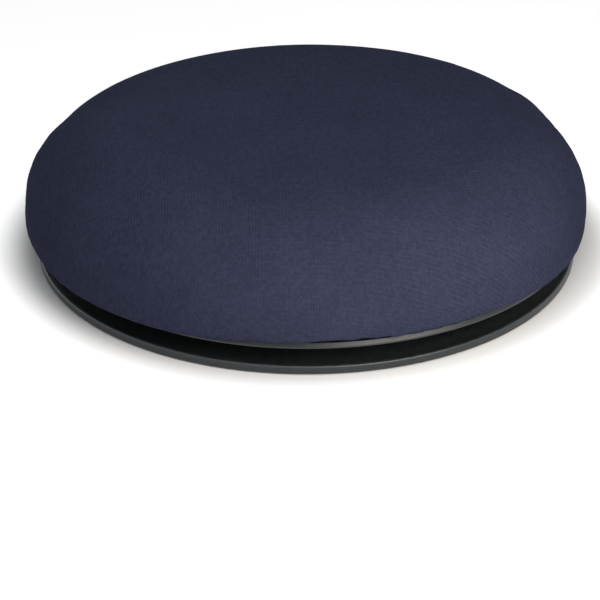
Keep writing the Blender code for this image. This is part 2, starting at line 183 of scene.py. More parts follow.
def creamFoam():
    # Moulded polyurethane foam: cream, dull, pitted by open cells, a little yellower where it has aged.
    material, tree, place = newMaterial("mouldedCreamFoam")
    cells = addNode(tree, "ShaderNodeTexVoronoi", pattern(place, 1.6 * mm))
    aged = addNode(tree, "ShaderNodeTexNoise", pattern(place, 45 * mm, Detail=4.0))
    colour = addNode(tree, "ShaderNodeValToRGB", (aged,), [(0.3, "#e6cf95"), (0.7, "#f2e1b2")])
    pits = addNode(tree, "ShaderNodeMapRange", (cells, 0.1, 0.5, 0.0, 1.0))
    sockets = {
        "Base Color": colour,
        "Roughness": 0.95,
        "Specular IOR Level": 0.2,
        "Subsurface Weight": 0.15,
        "Subsurface Radius": (2 * mm, 1.4 * mm, 0.8 * mm),
        "Subsurface Scale": 1.0,
    }
    return finishMaterial(material, sockets, pits, 0.5, 0.4 * mm)


def braidedElastic(circleRadius):
    # Rubber cord in a braided polyester sleeve: matt, with a slanting over-and-under braid.
    material, tree, place = newMaterial("braidedElasticCord")
    parts = addNode(tree, "ShaderNodeSeparateXYZ", (place,)).outputs
    azimuth = addNode(tree, "ShaderNodeMath", (parts["Y"], parts["X"]), operation="ARCTAN2")
    along = addNode(tree, "ShaderNodeMath", (azimuth, circleRadius), operation="MULTIPLY")
    braidLine = addNode(tree, "ShaderNodeCombineXYZ", (along, parts["Z"]))
    strands = []
    for slant in (40, -40):
        leaning = {"Vector": braidLine, "Rotation": (0, 0, math.radians(slant))}
        strand = addNode(tree, "ShaderNodeMapping", leaning)
        wave = addNode(tree, "ShaderNodeTexWave", pattern(strand, 5 * mm))
        strands.append(wave.outputs["Fac"])
    height = addNode(tree, "ShaderNodeMath", strands, operation="MAXIMUM")
    # Painted shade: the braid is darker where it dips between the strands.
    colour = addNode(tree, "ShaderNodeValToRGB", (height,), [(0.2, "#131318"), (0.9, "#2a2a31")])
    sockets = {"Base Color": colour, "Roughness": 0.85, "Sheen Weight": 0.3}
    return finishMaterial(material, sockets, height, 0.6, 0.2 * mm)


knitSizes = {
    "walePitch": 1.9 * mm,
    "coursePitch": 2.1 * mm,
    "slant": 0.5,
    "depth": 0.2 * mm,
    "needleLine": 2.1 * mm,
    "needleContrast": 0.1,
    "yarnLine": 3.2 * mm,
    "yarnContrast": 0.11,
    "sideShadeReach": 120 * mm,
    "patch": 11 * mm,
}


def navyKnit():
    # Polyester stretch knit, navy: matt columns of small V stitches, each stitch a little lighter or darker
    # as its yarn turns, and painted darker as shade in the grooves between the yarns, with a haze of broken
    # fibres. A fine knit has stitches about 0.9 mm wide, which the render can't show, so they are drawn about
    # twice as wide.
    size = knitSizes
    material, tree, place = newMaterial("navyStretchKnit", "flatCloth")
    warp = addNode(tree, "ShaderNodeTexNoise", pattern(place, 14 * mm, Detail=3.0))
    wobble = (warp.outputs["Color"], (2.2 * mm, 2.2 * mm, 0.0), place)
    shifted = addNode(tree, "ShaderNodeVectorMath", wobble, operation="MULTIPLY_ADD")
    parts = addNode(tree, "ShaderNodeSeparateXYZ", (shifted,)).outputs
    wale = addNode(tree, "ShaderNodeMath", (parts["X"], size["walePitch"]), operation="DIVIDE")
    course = addNode(tree, "ShaderNodeMath", (parts["Y"], size["coursePitch"]), operation="DIVIDE")
    inWale = addNode(tree, "ShaderNodeMath", (wale,), operation="FRACT")
    fromMiddle = addNode(tree, "ShaderNodeMath", (inWale, 0.5), operation="SUBTRACT")
    aside = addNode(tree, "ShaderNodeMath", (fromMiddle,), operation="ABSOLUTE")
    leg = addNode(tree, "ShaderNodeMath", (aside, 2 * size["slant"], course), operation="MULTIPLY_ADD")
    legPhase = addNode(tree, "ShaderNodeMath", (leg, math.pi), operation="MULTIPLY")
    legWave = addNode(tree, "ShaderNodeMath", (legPhase,), operation="SINE")
    yarn = addNode(tree, "ShaderNodeMath", (legWave,), operation="ABSOLUTE")
    column = addNode(tree, "ShaderNodeMapRange", (aside, 0.15, 0.5, 0.5, 0.0))
    height = addNode(tree, "ShaderNodeMath", (yarn, 0.5, column), operation="MULTIPLY_ADD")
    whichWale = addNode(tree, "ShaderNodeMath", (wale,), operation="FLOOR")
    whichCourse = addNode(tree, "ShaderNodeMath", (leg,), operation="FLOOR")
    stitch = addNode(tree, "ShaderNodeCombineXYZ", (whichWale, whichCourse))
    chance = addNode(tree, "ShaderNodeTexWhiteNoise", {"Vector": stitch}, noise_dimensions="3D")
    uneven = addNode(tree, "ShaderNodeTexNoise", pattern(place, 60 * mm, Detail=5.0))
    fibres = addNode(tree, "ShaderNodeTexNoise", pattern(place, 0.5 * mm, Detail=2.0))
    base = addNode(tree, "ShaderNodeValToRGB", (uneven,), [(0.3, "#323549"), (0.7, "#36394e")])
    # Painted shade: the colour is darker where the relief is low, between the yarns and between the columns.
    paintedStitchShade = addNode(tree, "ShaderNodeMapRange", (height, 0.0, 1.0, 0.88, 1.06))
    chanceTone = addNode(tree, "ShaderNodeMapRange", (chance, 0.0, 1.0, 0.88, 1.12))
    fibreTone = addNode(tree, "ShaderNodeMapRange", (fibres, 0.3, 0.7, 0.92, 1.08))
    tones = [chanceTone, fibreTone]
    # Rib lines drawn into the colour, in patches: lines along the wales, strongest at the left, and lines
    # across, strongest at the right. Which lines show on which side is painted shade, standing in for the
    # knit's relief as the light from the right front picks it out.
    patches = addNode(tree, "ShaderNodeTexNoise", pattern(place, size["patch"], Detail=1.0))
    patch = addNode(tree, "ShaderNodeMapRange", (patches, 0.4, 0.6, 0.2, 1.0))
    ribs = (
        (parts["X"], size["needleLine"], size["needleContrast"], 0.0),
        (parts["Y"], size["yarnLine"], 0.0, size["yarnContrast"]),
    )
    for along, pitch, atLeft, atRight in ribs:
        phase = addNode(tree, "ShaderNodeMath", (along, math.tau / pitch), operation="MULTIPLY")
        wave = addNode(tree, "ShaderNodeMath", (phase,), operation="SINE")
        leftToRight = (parts["X"], -size["sideShadeReach"], size["sideShadeReach"], atLeft, atRight)
        ribShadeBySide = addNode(tree, "ShaderNodeMapRange", leftToRight)
        gain = addNode(tree, "ShaderNodeMath", (ribShadeBySide, patch), operation="MULTIPLY")
        tones.append(addNode(tree, "ShaderNodeMath", (wave, gain, 1.0), operation="MULTIPLY_ADD"))
    tone = paintedStitchShade
    for further in tones:
        tone = addNode(tree, "ShaderNodeMath", (tone, further), operation="MULTIPLY")
    colour = addNode(tree, "ShaderNodeVectorMath", {0: base, "Scale": tone}, operation="SCALE")
    relief = addNode(tree, "ShaderNodeMath", (chance, 0.3, height), operation="MULTIPLY_ADD")
    sockets = {"Base Color": colour, "Roughness": 1.0, "Specular IOR Level": 0.02}
    return finishMaterial(material, sockets, relief, 0.7, size["depth"])


# Sizes that the frame gives
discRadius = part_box("base_disc")[1].x
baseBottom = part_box("base_disc")[0].z
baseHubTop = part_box("base_disc")[1].z
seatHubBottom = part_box("seat_disc")[0].z
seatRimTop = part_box("seat_disc")[1].z
cageLow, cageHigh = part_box("ball_cage")
ballLow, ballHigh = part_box("bearing_ball_01")
ballRadius = (ballHigh.z - ballLow.z) / 2
raceRadius = (ballLow.x + ballHigh.x) / 2
raceHeight = (ballLow.z + ballHigh.z) / 2
padLow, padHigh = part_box("grip_pad_1")
padRadius = (padHigh.x - padLow.x) / 2
padCircleRadius = (padLow.x + padHigh.x) / 2
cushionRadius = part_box("seat_cover")[1].x
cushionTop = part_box("seat_cover")[1].z
elasticLow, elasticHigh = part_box("hem_elastic")
elasticRadius = (elasticHigh.z - elasticLow.z) / 2
elasticHeight = (elasticHigh.z + elasticLow.z) / 2
elasticCircle = elasticHigh.x - elasticRadius

discMaterial = mouldedAbs()
cageMaterial = plainPlastic("mouldedPolyamide", "#b6b5ac", "#a5a49b", 0.5, 0.6 * mm)
nylonMaterial = plainPlastic("turnedNylon", "#dedacb", "#cfc9b6", 0.42, 0.4 * mm)
ballMaterial = lappedSteel()
pivotMaterial = groundSteel("zincPlatedSteel", "#c3c5c6", 0.24, 0.15 * mm)
rubberMaterial = padRubber()
foamMaterial = creamFoam()
elasticMaterial = braidedElastic(elasticCircle)
knitMaterial = navyKnit()

print("node trees")
axisCircle = 0.01 * mm  # of the path that a profile is swept along, so small that poles close on the axis
cutterSides = 48  # of the bores and flares that cut round pockets
cutting = {"operation": "DIFFERENCE", "solver": "EXACT"}


def newTree(name, ints=(), floats=()):
    # A Geometry Nodes tree with its named inputs, and the outputs of its Group Input node.
    tree = bpy.data.node_groups.new(name, "GeometryNodeTree")
    tree.interface.new_socket("Geometry", in_out="INPUT", socket_type="NodeSocketGeometry")
    tree.interface.new_socket("Geometry", in_out="OUTPUT", socket_type="NodeSocketGeometry")
    for kind, labels in (("Int", ints), ("Float", floats), ("Material", ["Material"])):
        for label in labels:
            tree.interface.new_socket(label, in_out="INPUT", socket_type="NodeSocket" + kind)
    return tree, tree.nodes.new("NodeGroupInput").outputs


def endTree(tree, geometry, material):
    real = addNode(tree, "GeometryNodeRealizeInstances", (geometry,))
    painted = addNode(tree, "GeometryNodeSetMaterial", {"Geometry": real, "Material": material})
    addNode(tree, "NodeGroupOutput", (painted,))
    return tree


def buildTurningTree():
    # Rounds the corners of a profile by its own corner radii, and turns it round the Z axis.
    tree, given = newTree("turnedShape", ["Sides", "Corner Steps"])
    outline = addNode(tree, "GeometryNodeMeshToCurve", (given["Geometry"],))
    corner = addNode(tree, "GeometryNodeInputNamedAttribute", {"Name": "corner"}, data_type="FLOAT")
    rounding = {"Curve": outline, "Radius": corner, "Count": given["Corner Steps"], "Limit Radius": True}
    rounded = addNode(tree, "GeometryNodeFilletCurve", rounding, mode="POLY")
    circle = {"Resolution": given["Sides"], "Radius": axisCircle}
    path = addNode(tree, "GeometryNodeCurvePrimitiveCircle", circle)
    swept = addNode(tree, "GeometryNodeCurveToMesh", {"Curve": path, "Profile Curve": rounded})
    closed = addNode(tree, "GeometryNodeMergeByDistance", {"Geometry": swept, "Distance": 0.001 * mm})
    return endTree(tree, closed, given["Material"])


def buildPlacingTree():
    # Repeats a piece at even places on a circle round the Z axis, turned to face outwards.
    tree, given = newTree("roundPlaces", ["Count"], ["Circle Radius", "Height"])
    circle = addNode(tree, "GeometryNodeMeshCircle", (given["Count"], given["Circle Radius"]))
    lift = addNode(tree, "ShaderNodeCombineXYZ", {"Z": given["Height"]})
    raised = addNode(tree, "GeometryNodeTransform", {"Geometry": circle, "Translation": lift})
    index = addNode(tree, "GeometryNodeInputIndex")
    share = addNode(tree, "ShaderNodeMath", (index, given["Count"]), operation="DIVIDE")
    angle = addNode(tree, "ShaderNodeMath", (share, math.tau), operation="MULTIPLY")
    facing = addNode(tree, "ShaderNodeCombineXYZ", {"Z": angle})
    repeated = {"Points": raised, "Instance": given["Geometry"], "Rotation": facing}
    placed = addNode(tree, "GeometryNodeInstanceOnPoints", repeated)
    return endTree(tree, placed, given["Material"])


def buildPocketTree():
    # Cuts round holes, with a small chamfer at each end, at even places on a circle.
    edges = ["Low Edge", "High Edge"]
    tree, given = newTree("roundPockets", ["Count"], ["Circle Radius", "Hole Radius", *edges, "Chamfer"])
    hole = given["Hole Radius"]
    circle = addNode(tree, "GeometryNodeMeshCircle", (given["Count"], given["Circle Radius"]))
    reach = addNode(tree, "ShaderNodeMath", (given["High Edge"], given["Low Edge"]), operation="SUBTRACT")
    total = addNode(tree, "ShaderNodeMath", (given["High Edge"], given["Low Edge"]), operation="ADD")
    middle = addNode(tree, "ShaderNodeMath", (total, 0.5), operation="MULTIPLY")
    cutters = [("GeometryNodeMeshCylinder", {"Radius": hole, "Depth": reach}, middle)]
    # Each chamfer is a cone, twice the chamfer high, that is as wide as the bore at its inner end.
    twice = addNode(tree, "ShaderNodeMath", (given["Chamfer"], 2.0), operation="MULTIPLY")
    outer = addNode(tree, "ShaderNodeMath", (hole, twice), operation="ADD")
    for edge, bottom, top in (("Low Edge", outer, hole), ("High Edge", hole, outer)):
        chamferBelow = (given["Chamfer"], -1.0, given[edge])
        start = addNode(tree, "ShaderNodeMath", chamferBelow, operation="MULTIPLY_ADD")
        flare = {"Radius Bottom": bottom, "Radius Top": top, "Depth": twice}
        cutters.append(("GeometryNodeMeshCone", flare, start))
    cut = given["Geometry"]
    for kind, sizes, height in cutters:
        shape = addNode(tree, kind, {"Vertices": cutterSides, **sizes})
        lift = addNode(tree, "ShaderNodeCombineXYZ", {"Z": height})
        moved = addNode(tree, "GeometryNodeTransform", {"Geometry": shape, "Translation": lift})
        placed = addNode(tree, "GeometryNodeInstanceOnPoints", {"Points": circle, "Instance": moved})
        real = addNode(tree, "GeometryNodeRealizeInstances", (placed,))
        cut = addNode(tree, "GeometryNodeMeshBoolean", {"Mesh 1": cut, "Mesh 2": real}, **cutting)
    return endTree(tree, cut, given["Material"])


def buildScrewTree():
    # Presses a V thread into the shank, which runs out at its upper end, and sinks a hexagonal socket in
    # the head.
    crest, root = 0.07, 0.43  # where the V starts and where it is deepest, in pitches from the ridge's middle
    runOutPitches = 1.5
    thread = ["Shank Radius", "Pitch", "Groove Depth", "Thread End"]
    tree, given = newTree("screw", [], [*thread, "Socket Corner", "Socket Depth", "Head Top"])
    place = addNode(tree, "GeometryNodeInputPosition")
    parts = addNode(tree, "ShaderNodeSeparateXYZ", (place,)).outputs
    azimuth = addNode(tree, "ShaderNodeMath", (parts["Y"], parts["X"]), operation="ARCTAN2")
    share = addNode(tree, "ShaderNodeMath", (azimuth, math.tau), operation="DIVIDE")
    climbed = addNode(tree, "ShaderNodeMath", (parts["Z"], given["Pitch"]), operation="DIVIDE")
    turns = addNode(tree, "ShaderNodeMath", (climbed, share), operation="SUBTRACT")
    flank = addNode(tree, "ShaderNodeMath", (turns, 0.5), operation="PINGPONG")
    groove = addNode(tree, "ShaderNodeMapRange", (flank, crest, root, 0.0, 1.0))
    start = (given["Pitch"], -runOutPitches, given["Thread End"])
    fade = addNode(tree, "ShaderNodeMath", start, operation="MULTIPLY_ADD")
    runOut = addNode(tree, "ShaderNodeMapRange", (parts["Z"], fade, given["Thread End"], 1.0, 0.0))
    depth = addNode(tree, "ShaderNodeMath", (groove, runOut), operation="MULTIPLY")
    inwards = addNode(tree, "ShaderNodeMath", (depth, given["Groove Depth"]), operation="MULTIPLY")
    left = addNode(tree, "ShaderNodeMath", (inwards, given["Shank Radius"]), operation="DIVIDE")
    flat = addNode(tree, "ShaderNodeVectorMath", (place, (-1.0, -1.0, 0.0)), operation="MULTIPLY")
    shift = addNode(tree, "ShaderNodeVectorMath", {0: flat, "Scale": left}, operation="SCALE")
    threaded = addNode(tree, "GeometryNodeSetPosition", {"Geometry": given["Geometry"], "Offset": shift})
    reach = addNode(tree, "ShaderNodeMath", (given["Socket Depth"], 2.0), operation="MULTIPLY")
    hexagon = {"Vertices": 6, "Radius": given["Socket Corner"], "Depth": reach}
    key = addNode(tree, "GeometryNodeMeshCylinder", hexagon)
    top = addNode(tree, "ShaderNodeCombineXYZ", {"Z": given["Head Top"]})
    raised = addNode(tree, "GeometryNodeTransform", {"Geometry": key, "Translation": top})
    cut = addNode(tree, "GeometryNodeMeshBoolean", {"Mesh 1": threaded, "Mesh 2": raised}, **cutting)
    return endTree(tree, cut, given["Material"])


turningTree = buildTurningTree()
placingTree = buildPlacingTree()
pocketTree = buildPocketTree()
screwTree = buildScrewTree()


def useTree(obj, tree, material, values):
    # Adds the tree as a modifier, and sets its inputs by their sockets' identifiers.
    modifier = obj.modifiers.new(tree.name, "NODES")
    modifier.node_group = tree
    values = {**values, "Material": material}
    for item in tree.interface.items_tree:
        if item.in_out == "INPUT" and item.name in values:
            modifier[item.identifier] = values[item.name]


def newObject(name, data):
    obj = bpy.data.objects.new(name, data)
    scene.collection.objects.link(obj)
    return obj


def meshObject(name, work, *materials):
    # Ends a bmesh, as an object with a plain mesh.
    mesh = bpy.data.meshes.new(name)
    work.to_mesh(mesh)
    work.free()
    for material in materials:
        mesh.materials.append(material)
    return newObject(name, mesh)


def profileObject(name, profile):
    # A closed profile as an edge loop for the turning tree. Its points are the distance from the axis and
    # the height, and a radius where the corner is rounded.
    mesh = bpy.data.meshes.new(name)
    places = [(point[0] - axisCircle, -point[1], 0.0) for point in profile]
    mesh.from_pydata(places, [(index, (index + 1) % len(profile)) for index in range(len(profile))], [])
    corner = mesh.attributes.new("corner", "FLOAT", "POINT")
    corner.data.foreach_set("value", [point[2] if len(point) > 2 else 0.0 for point in profile])
    return newObject(name, mesh)


def bakeModifiers(obj):
    # Turns the evaluated object into a plain mesh, and drops the modifiers.
    depsgraph = bpy.context.evaluated_depsgraph_get()
    evaluated = obj.evaluated_get(depsgraph)
    mesh = bpy.data.meshes.new_from_object(evaluated, preserve_all_data_layers=True, depsgraph=depsgraph)
    obj.modifiers.clear()
    obj.data = mesh
    mesh.name = obj.name


def faceOutwards(obj, sharpDegrees=34.0):
    # Merges doubles, turns the faces outwards, and shades the piece smooth up to an angle.
    mesh = obj.data
    work = bmesh.new()
    work.from_mesh(mesh)
    bmesh.ops.remove_doubles(work, verts=work.verts, dist=0.002 * mm)
    bmesh.ops.dissolve_degenerate(work, edges=work.edges, dist=0.002 * mm)
    bmesh.ops.recalc_face_normals(work, faces=work.faces)
    work.to_mesh(mesh)
    work.free()
    if "corner" in mesh.attributes:
        mesh.attributes.remove(mesh.attributes["corner"])
    mesh.shade_smooth()
    mesh.set_sharp_from_angle(angle=math.radians(sharpDegrees))


def markCorners(obj, fullDegrees=15):
    # How sharply the faces turn at each vertex, from 0 to 1, for the finishes that wear at corners, where the
    # black ABS is also painted paler as a highlight.
    work = bmesh.new()
    work.from_mesh(obj.data)
    turns = []
    for vertex in work.verts:
        turns.append(max([edge.calc_face_angle(0.0) for edge in vertex.link_edges], default=0.0))
    work.free()
    shares = np.clip(np.array(turns) / math.radians(fullDegrees), 0.0, 1.0)
    rubbedAndHighlit = obj.data.attributes.new("rubbedAndHighlit", "FLOAT", "POINT")
    rubbedAndHighlit.data.foreach_set("value", shares.astype(np.float32))


def attach(obj, body, slotName, *replaced):
    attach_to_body(obj, body)
    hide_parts(*replaced)


def arcPoints(centre, reach, start, end, steps, square=2.0):
    # Points along an ellipse, from one angle to the other, in degrees from straight outwards.
    # Above 2 the ellipse is squarer.
    points = []
    for step in range(steps + 1):
        angle = math.radians(start + (end - start) * step / steps)
        parts = (math.cos(angle), math.sin(angle))
        across, up = (math.copysign(abs(part) ** (2 / square), part) for part in parts)
        points.append((centre[0] + reach[0] * across, centre[1] + reach[1] * up))
    return points


def turned(name, profile, material, size, further=()):
    # A smooth solid of revolution, as fine as its sizes say, with any further trees run on it before it is
    # made plain.
    obj = profileObject(name, profile)
    useTree(obj, turningTree, material, {"Sides": size["sides"], "Corner Steps": size["cornerSteps"]})
    for tree, values in further:
        useTree(obj, tree, material, values)
    bakeModifiers(obj)
    faceOutwards(obj)
    markCorners(obj)
    weighted = obj.modifiers.new("flatFacesFlat", "WEIGHTED_NORMAL")
    weighted.keep_sharp = True
    return obj


print("discs")
discSizes = {
    "wall": 2.5 * mm,
    "baseRimHeight": 6.0 * mm,
    "rimRound": 1.3 * mm,
    "lipSlope": 1.6 * mm,
    "lipFoot": 0.9 * mm,
    "lipRound": 2.4 * mm,
    "lipTop": 0.5 * mm,
    "lipDrop": 0.9 * mm,
    "innerRound": 0.5 * mm,
    "floorFillet": 1.2 * mm,
    "bedHeight": 4.5 * mm,
    "bedWidth": 17.0 * mm,
    "bedSlope": 2.0 * mm,
    "grooveDepth": 1.6 * mm,
    "ballPlay": 0.3 * mm,
    "baseHubRadius": 19.0 * mm,
    "seatHubRadius": 24.0 * mm,
    "seatHubDepth": 4.5 * mm,
    "sleeveHole": 4.8 * mm,
    "boltHole": 2.8 * mm,
    "cornerRound": 0.4 * mm,
    "recessChamfer": 0.25 * mm,
    "touch": 0.3 * mm,
    "sides": 384,
    "cornerSteps": 5,
    "grooveSteps": 14,
}
padSizes = {
    "count": 6,
    "round": 0.3 * mm,
    "ribs": 3,
    "ribDepth": 0.25 * mm,
    "pitchInWidths": 5,
    "sides": 64,
    "cornerSteps": 3,
}

# The ball bed's half width at its crest and at its foot, the hollow behind it, and the rim's inner face
bedHalf = discSizes["bedWidth"] / 2
bedFoot = bedHalf + discSizes["bedSlope"]
bedHollow = bedFoot - discSizes["wall"]
rimInside = discRadius - discSizes["wall"]


def bedPoints(side, foot, crest):
    # The ball bed's section with its groove, below the balls from outside to inside for side 1, and above
    # them from inside to outside for -1.
    small = discSizes["cornerRound"]
    radius = ballRadius + discSizes["ballPlay"]
    half = math.degrees(math.acos((radius - discSizes["grooveDepth"]) / radius))
    lips = (-90 * side + half, -90 * side - half)
    return [
        (raceRadius + side * bedFoot, foot, small),
        (raceRadius + side * bedHalf, crest, small),
        *arcPoints((raceRadius, raceHeight), (radius, radius), *lips, discSizes["grooveSteps"]),
        (raceRadius - side * bedHalf, crest, small),
        (raceRadius - side * bedFoot, foot, small),
    ]


def hollowPoints(side, mouth, end):
    # The hollow behind the bed, from inside to outside for side 1, and back for -1.
    near, far = raceRadius - side * bedHollow, raceRadius + side * bedHollow
    small = discSizes["cornerRound"]
    return [(near, mouth, small), (near, end, small), (far, end, small), (far, mouth, small)]


def buildBaseDisc():
    size = discSizes
    floorTop = baseBottom + size["wall"]
    rimTop = baseBottom + size["baseRimHeight"]
    crest = floorTop + size["bedHeight"]
    hollowTop = crest - size["grooveDepth"] - size["wall"]
    hubInside = size["baseHubRadius"] - size["wall"]
    hubUnder = baseHubTop - size["wall"]
    small = size["cornerRound"]
    profile = [
        (discRadius, baseBottom, size["rimRound"]),
        (discRadius, rimTop, size["rimRound"]),
        (rimInside, rimTop, size["innerRound"]),
        (rimInside, floorTop, size["floorFillet"]),
        *bedPoints(1, floorTop, crest),
        (size["baseHubRadius"], floorTop, size["floorFillet"]),
        (size["baseHubRadius"], baseHubTop, size["rimRound"]),
        (size["sleeveHole"], baseHubTop, small / 2),
        (size["sleeveHole"], hubUnder, small / 2),
        (hubInside, hubUnder, small),
        (hubInside, baseBottom, small),
        *hollowPoints(1, baseBottom, hollowTop),
    ]
    recesses = {
        "Count": padSizes["count"],
        "Circle Radius": padCircleRadius,
        "Hole Radius": padRadius + size["touch"],
        "Low Edge": baseBottom,
        "High Edge": padHigh.z + size["touch"],
        "Chamfer": size["recessChamfer"],
    }
    disc = turned("baseDisc", profile, discMaterial, size, [(pocketTree, recesses)])
    attach(disc, "base", "disc_plastic", "base_disc")


def buildSeatDisc():
    size = discSizes
    crest = seatHubBottom
    bottom = crest + size["bedHeight"]
    floorTop = bottom + size["wall"]
    hollowFloor = crest + size["grooveDepth"] + size["wall"]
    lipTop = seatRimTop - size["lipDrop"]
    hubInside = size["seatHubRadius"]
    hubFloor = floorTop - size["seatHubDepth"]
    boss = hubInside + size["wall"]
    small = size["cornerRound"]
    profile = [
        (discRadius, bottom, size["lipFoot"] / 2),
        (discRadius, bottom + size["lipFoot"], size["lipRound"]),
        (discRadius - size["lipSlope"], lipTop, size["lipTop"]),
        (rimInside, lipTop, size["innerRound"] / 2),
        (rimInside, floorTop, small),
        *hollowPoints(-1, floorTop, hollowFloor),
        (hubInside, floorTop, size["rimRound"]),
        (hubInside, hubFloor, small),
        (size["boltHole"], hubFloor, small / 2),
        (size["boltHole"], crest, small / 2),
        (boss, crest, small),
        (boss, bottom, small),
        *bedPoints(-1, bottom, crest),
    ]
    disc = turned("seatDisc", profile, discMaterial, size)
    attach(disc, "seat", "disc_plastic", "seat_disc")


def buildPads():
    # Round rubber pads with shallow rings moulded into the face that grips the floor.
    size = padSizes
    profile = [(0.0, padHigh.z), (padRadius, padHigh.z, size["round"]), (padRadius, 0.0, size["round"])]
    pitch = padRadius / (size["ribs"] + 1)
    width = pitch / size["pitchInWidths"]
    depth = size["ribDepth"]
    for rib in range(size["ribs"], 0, -1):
        across = pitch * rib
        profile += [
            (across + width, 0.0, depth / 2),
            (across + width / 2, depth, depth / 2),
            (across - width / 2, depth, depth / 2),
            (across - width, 0.0, depth / 2),
        ]
    profile.append((0.0, 0.0))
    places = {"Count": size["count"], "Circle Radius": padCircleRadius, "Height": 0.0}
    pads = turned("gripPads", profile, rubberMaterial, size, [(placingTree, places)])
    attach(pads, "base", "pad_rubber", *(f"grip_pad_{index + 1}" for index in range(size["count"])))


buildBaseDisc()
buildSeatDisc()
buildPads()

print("ball race")
cageSizes = {
    "count": 20,
    "edgeRound": 0.4 * mm,
    "chamfer": 0.2 * mm,
    "ballCells": 4,
    "sides": 240,
    "cornerSteps": 3,
}


def buildCage():
    size = cageSizes
    low, high = cageLow.z, cageHigh.z
    outer = cageHigh.x
    inner = 2 * raceRadius - outer
    edge = size["edgeRound"]
    profile = [(outer, low, edge), (outer, high, edge), (inner, high, edge), (inner, low, edge)]
    pockets = {
        "Count": size["count"],
        "Circle Radius": raceRadius,
        "Hole Radius": ballRadius + discSizes["ballPlay"],
        "Low Edge": low,
        "High Edge": high,
        "Chamfer": size["chamfer"],
    }
    cage = turned("ballCage", profile, cageMaterial, size, [(pocketTree, pockets)])
    attach(cage, "cage", "cage_plastic", "ball_cage")


def buildBalls():
    size = cageSizes
    work = bmesh.new()
    bmesh.ops.create_icosphere(work, subdivisions=size["ballCells"], radius=ballRadius)
    balls = meshObject("bearingBalls", work)
    places = {"Count": size["count"], "Circle Radius": raceRadius, "Height": raceHeight}
    useTree(balls, placingTree, ballMaterial, places)
    bakeModifiers(balls)
    balls.data.shade_smooth()
    replaced = [f"bearing_ball_{index + 1:02d}" for index in range(size["count"])]
    attach(balls, "cage", "ball_steel", *replaced)


buildCage()
buildBalls()

print("pivot")
washerSizes = {"edge": 0.15 * mm, "sides": 96, "cornerSteps": 3}
boltSizes = {
    "shank": 2.5 * mm,
    "tip": 0.5 * mm,
    "edge": 0.1 * mm,
    "neckRound": 0.15 * mm,
    "headEdge": 0.2 * mm,
    "headSide": 0.8 * mm,
    "headRound": 0.6 * mm,
    "dome": (15, 75),
    "domeSteps": 8,
    "socketDepth": 1.4 * mm,
    "socketFlats": 3.0 * mm,
    "faceInCorners": 1.2,
    "pitch": 0.8 * mm,
    "grooveDepth": 0.42 * mm,
    "threadLength": 9.0 * mm,
    "threadRow": 0.1 * mm,
    "sides": 96,
    "cornerSteps": 3,
}
nutSizes = {"sides": 96, "chamfer": 0.35 * mm, "endInFlats": 0.96, "sharpDegrees": 20.0}


def buildWasher(name, node, hole, material, body, slotName):
    # A flat ring between the heights of its node, with its edges broken.
    low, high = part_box(node)
    edge = washerSizes["edge"]
    profile = [(high.x, low.z, edge), (high.x, high.z, edge), (hole, high.z, edge), (hole, low.z, edge)]
    washer = turned(name, profile, material, washerSizes)
    attach(washer, body, slotName, node)


def buildBolt():
    # From the tip up the thread and the shank, then out under the head and over its dome.
    low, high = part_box("pivot_bolt")
    size = boltSizes
    shank = size["shank"]
    head = high.x
    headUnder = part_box("pivot_top_washer")[1].z + discSizes["touch"]
    tip = low.z + size["tip"]
    threadEnd = low.z + size["threadLength"]
    rows = round((threadEnd - tip) / size["threadRow"])
    domeStart = headUnder + size["headSide"]
    dome = (head, high.z - headUnder - size["headSide"])
    corner = size["socketFlats"] / 2 / math.cos(math.radians(30))
    profile = [
        (0.0, low.z),
        (shank - size["tip"], low.z, size["edge"]),
        *((shank, tip + (threadEnd - tip) * row / rows) for row in range(rows + 1)),
        (shank, headUnder, size["neckRound"]),
        (head, headUnder, size["headEdge"]),
        (head, domeStart, size["headRound"]),
        *arcPoints((0.0, domeStart), dome, *size["dome"], size["domeSteps"]),
        (corner * size["faceInCorners"], high.z, size["edge"]),
        (0.0, high.z),
    ]
    screw = {
        "Shank Radius": shank,
        "Pitch": size["pitch"],
        "Groove Depth": size["grooveDepth"],
        "Thread End": threadEnd,
        "Socket Corner": corner,
        "Socket Depth": size["socketDepth"],
        "Head Top": high.z,
    }
    bolt = turned("pivotBolt", profile, pivotMaterial, size, [(screwTree, screw)])
    attach(bolt, "seat", "pivot_steel", "pivot_bolt")


def buildNut():
    # A hexagon whose corners are turned down at both ends, as rings up its outside and down its hole.
    low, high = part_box("pivot_nut")
    size = nutSizes
    hole = discSizes["boltHole"]
    halfFlats = min(high.x, high.y)
    end = halfFlats * size["endInFlats"]
    flats = (low.z + size["chamfer"], high.z - size["chamfer"])
    levels = [(low.z, end), (flats[0], None), (flats[1], None), (high.z, end), (high.z, hole), (low.z, hole)]
    work = bmesh.new()
    rings = []
    for height, radius in levels:
        ring = []
        for index in range(size["sides"]):
            angle = math.tau * index / size["sides"]
            fromFlat = angle % math.radians(60) - math.radians(30)
            across = radius or halfFlats / math.cos(fromFlat)
            ring.append(work.verts.new((across * math.cos(angle), across * math.sin(angle), height)))
        rings.append(ring)
    for ring, following in zip(rings, rings[1:] + rings[:1]):
        for index in range(size["sides"]):
            after = (index + 1) % size["sides"]
            work.faces.new((ring[index], ring[after], following[after], following[index]))
    nut = meshObject("pivotNut", work, pivotMaterial)
    faceOutwards(nut, size["sharpDegrees"])
    attach(nut, "seat", "pivot_steel", "pivot_nut")


